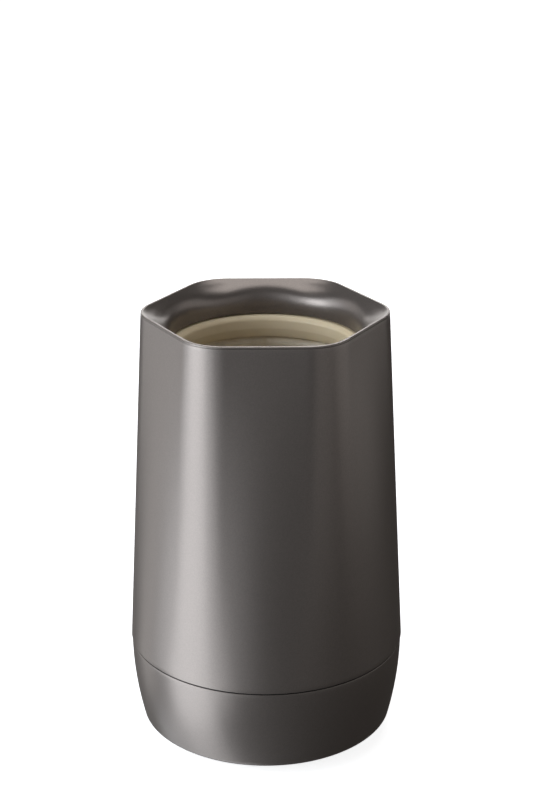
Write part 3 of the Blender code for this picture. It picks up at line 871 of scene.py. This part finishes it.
def sleeve_film():
    """Pale vinyl film with fine creases that run down from the welds, painted darker in their hollows as
    shade.
    """
    n = Nodes("sleeve_film")
    creases = n.noise(1.0, 5.0, 0.6, n.stretched((120.0, 120.0, 22.0)))
    # Painted shade: the crease noise that bumps the film also makes it darker in the hollows and lighter on
    # the crests.
    n.feed("Base Color", n.ramp(creases, (0.25, FILM_CREASE_SHADE), (0.75, FILM_LIGHT)))
    n.feed("Roughness", n.remap(n.noise(80.0), 0.30, 0.45))
    n.set(Subsurface_Weight=0.05, Subsurface_Radius=(0.004, 0.003, 0.002))
    n.feed("Normal", n.bump(creases, 0.35, 0.0012))
    return n.material


def cooling_gel():
    """Cloudy pale blue gel in a thin pouch."""
    n = Nodes("cooling_gel")
    n.feed("Base Color", n.ramp(n.noise(45.0, 5.0), (0.3, GEL_DARK), (0.7, GEL_LIGHT)))
    n.feed("Roughness", n.remap(n.noise(90.0), 0.12, 0.3))
    n.set(Subsurface_Weight=0.4, Subsurface_Radius=(0.004, 0.008, 0.01))
    n.feed("Normal", n.bump(n.noise(70.0, 3.0), 0.3, 0.001))
    return n.material


def screw_steel():
    """Zinc-plated steel with fine turning marks."""
    n = Nodes("screw_steel")
    turning = n.noise(1.0, 3.0, 0.6, n.stretched((300.0, 300.0, 6000.0)))
    n.feed("Base Color", n.ramp(turning, (0.3, ZINC_DARK), (0.7, ZINC_LIGHT)))
    n.set(Metallic=1.0)
    n.feed("Roughness", n.remap(turning, 0.22, 0.4))
    n.feed("Normal", n.bump(turning, 0.2, 0.0002))
    return n.material


# The stage, light and camera

CAMERA_DISTANCE = 0.760
CAMERA_HEIGHT = 0.441
CAMERA_SIDE_STEP = 0.0004
CAMERA_PITCH = 20.39                # degrees below level
CAMERA_ROLL = 0.2                   # degrees
CAMERA_LENS = 82.5
SENSOR_WIDTH = 36.0
LIGHT_AIM_Z = 0.1
LIGHT_DISTANCE = 1.3
NEUTRAL = (1.0, 1.0, 1.0)
COOL = (0.93, 1.0, 1.07)
ROOM_COLOR = (0.042, 0.038, 0.035)
FLOOR_SIZE = 6.0
CONTACT_RADIUS = 56.0 * MM
CONTACT_DEPTH = 0.4 * MM


def make_camera():
    camera = bpy.data.objects.new("camera", bpy.data.cameras.new("camera"))
    camera.data.lens = CAMERA_LENS
    camera.data.sensor_width = SENSOR_WIDTH
    camera.data.clip_start = 0.01
    camera.data.dof.use_dof = False
    camera.location = (CAMERA_SIDE_STEP, -CAMERA_DISTANCE, CAMERA_HEIGHT)
    tilt = Euler((radians(90 - CAMERA_PITCH), 0.0, 0.0)).to_matrix()
    roll = Euler((0.0, 0.0, radians(-CAMERA_ROLL))).to_matrix()
    camera.rotation_euler = (tilt @ roll).to_euler()
    bpy.context.scene.collection.objects.link(camera)
    bpy.context.scene.camera = camera


def softbox(name, azimuth, elevation, width, height, radiance, color=NEUTRAL, distance=LIGHT_DISTANCE):
    """A panel facing the cooler. Azimuth runs from +X over +Y, and width is the angle it fills.

    Angles are in degrees, and height and distance in metres.
    """
    light = bpy.data.lights.new(name, 'AREA')
    light.shape = 'RECTANGLE'
    light.size = 2 * distance * tan(radians(width / 2))
    light.size_y = height
    light.energy = radiance * pi * light.size * light.size_y
    light.color = color
    obj = bpy.data.objects.new(name, light)
    away = Vector((cos(radians(elevation)) * cos(radians(azimuth)),
                   cos(radians(elevation)) * sin(radians(azimuth)),
                   sin(radians(elevation))))
    obj.location = Vector((0.0, 0.0, LIGHT_AIM_Z)) + away * distance
    obj.rotation_euler = (-away).to_track_quat('-Z', 'Y').to_euler()
    bpy.context.scene.collection.objects.link(obj)


def make_lights():
    """A large soft key from the left with softer edges, its glow from below, and weak fills."""
    softbox("key", 203, -4, 40, 2.2, 3.3, COOL)
    softbox("key_crown", 202, 20, 26, 1.0, 2.0, COOL)
    softbox("key_back_edge", 174, 8, 18, 1.7, 1.8, COOL)
    softbox("key_front_edge", 232, 2, 18, 2.0, 1.55, COOL)
    softbox("key_tail", 251, 8, 20, 1.6, 0.4, COOL)
    softbox("left_back", 150, 0, 20, 1.85, 0.8)
    softbox("glow_left", 206, -64, 26, 1.15, 1.5, COOL, distance=1.6)
    softbox("glow_left_back", 163, -62, 26, 1.3, 1.0, COOL, distance=1.6)
    softbox("right", 4, 11, 54, 1.35, 0.55)
    softbox("right_front", 314, 12, 44, 1.4, 0.36)
    softbox("front", 262, 22, 50, 1.2, 0.1)
    softbox("back", 90, 6, 76, 0.5, 2.6)
    softbox("back_high", 90, 27, 14, 0.3, 4.5)
    softbox("top", 90, 80, 40, 1.0, 2.0, distance=1.4)


def make_world():
    """White to the camera, a dim grey studio to everything else."""
    world = bpy.data.worlds.new("studio")
    world.use_nodes = True
    tree = world.node_tree
    tree.nodes.clear()
    path = tree.nodes.new('ShaderNodeLightPath')
    seen = tree.nodes.new('ShaderNodeBackground')
    seen.inputs["Color"].default_value = (1, 1, 1, 1)
    room = tree.nodes.new('ShaderNodeBackground')
    room.inputs["Color"].default_value = (*ROOM_COLOR, 1)
    mix = tree.nodes.new('ShaderNodeMixShader')
    output = tree.nodes.new('ShaderNodeOutputWorld')
    tree.links.new(path.outputs["Is Camera Ray"], mix.inputs["Fac"])
    tree.links.new(room.outputs["Background"], mix.inputs[1])
    tree.links.new(seen.outputs["Background"], mix.inputs[2])
    tree.links.new(mix.outputs["Shader"], output.inputs["Surface"])
    bpy.context.scene.world = world


def make_floor():
    """A pale floor that glows, brighter further off, so that only a faint shadow shows on it."""
    bpy.ops.mesh.primitive_grid_add(x_subdivisions=8, y_subdivisions=8, size=FLOOR_SIZE, location=(0, 0, 0))
    floor = bpy.context.object
    floor.name = "floor"
    n = Nodes("pale_floor")
    n.set(Base_Color=(0.85, 0.85, 0.85, 1), Emission_Color=(1, 1, 1, 1), Specular_IOR_Level=0.0)
    away = n.add('ShaderNodeVectorMath', operation='LENGTH')
    n.link(n.place, away.inputs[0])
    n.feed("Emission Strength", n.remap(away.outputs["Value"], 0.82, 1.0, from_low=0.2, from_high=1.2))
    n.feed("Roughness", n.remap(n.noise(40.0), 0.6, 0.7))
    floor.data.materials.append(n.material)
    floor.visible_glossy = False
    floor.visible_diffuse = False
    floor.visible_transmission = False
    floor.visible_shadow = False


def make_painted_shade_disc():
    """A dark disc just under the floor, unseen by the camera: it keeps the light from below off the
    underside, as the floor would, and its dark grey is painted shade where the underside reflects it.
    """
    count = 48
    rings = [circle(CONTACT_RADIUS, -CONTACT_DEPTH, count), circle(0.0, -CONTACT_DEPTH, count)]
    patch = loft("painted_shade_disc", rings, False)
    n = Nodes("contact_shade")
    # Painted shade: a dark grey that the underside reflects in place of the shaded floor under the cooler.
    n.set(Base_Color=(0.08, 0.08, 0.08, 1), Roughness=0.9)
    patch.data.materials.append(n.material)
    patch.visible_camera = False


# Putting it together

def place(obj, body, slot, material, *nodes):
    """Gives a piece its material and its body, and hides the CAD nodes that it stands for."""
    obj.data.materials.clear()
    obj.data.materials.append(material)
    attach(obj, body)
    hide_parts(*nodes)
    return obj


def build():
    graphite = graphite_satin()
    plastic = inner_plastic()
    rubber = soft_rubber()
    pale = pale_plastic()
    vinyl = sleeve_film()
    gel = cooling_gel()
    steel = screw_steel()

    place(make_outer_shell(), "housing", "graphite_shell", graphite, "outer_shell")
    place(make_inner_collar(), "housing", "graphite_shell", graphite, "inner_collar")
    place(make_inner_liner(), "housing", "inner_plastic", plastic, "inner_liner")
    place(make_bayonet_ring(), "housing", "inner_plastic", plastic, "bayonet_ring")

    place(make_base_cup(), "base", "graphite_shell", graphite, "base_cup")
    place(make_base_core(), "base", "inner_plastic", plastic, "base_core")
    place(make_base_gasket(), "base", "soft_rubber", rubber, "base_gasket")
    place(make_foot(), "base", "soft_rubber", rubber, "anti_slip_foot")

    place(make_drip_tray(), "tray", "inner_plastic", plastic, "drip_tray")
    place(make_bottle_mat(), "tray", "soft_rubber", rubber, "bottle_mat")

    place(make_top_ring(), "cooling_sleeve", "pale_ring", pale, "element_top_ring")
    place(make_bottom_ring(), "cooling_sleeve", "pale_ring", pale, "element_bottom_ring")
    inner_film = make_film("inner_film", -1, WELL_RADIUS)
    outer_film = make_film("outer_film", 1, SLEEVE_RADIUS)
    place(inner_film, "cooling_sleeve", "sleeve_film", vinyl, "sleeve_inner_film")
    place(outer_film, "cooling_sleeve", "sleeve_film", vinyl, "sleeve_outer_film")
    for index in range(1, CELL_COUNT + 1):
        cell = place(make_gel_cell(index), "cooling_sleeve", "cooling_gel", gel, f"gel_cell_{index}")

    for index, x, y in screw_places():
        place(make_screw(index, x, y), "base", "screw_steel", steel, f"base_screw_{index}")


build()
make_world()
make_lights()
make_floor()
make_painted_shade_disc()
make_camera()
bpy.context.scene.view_settings.view_transform = 'Standard'
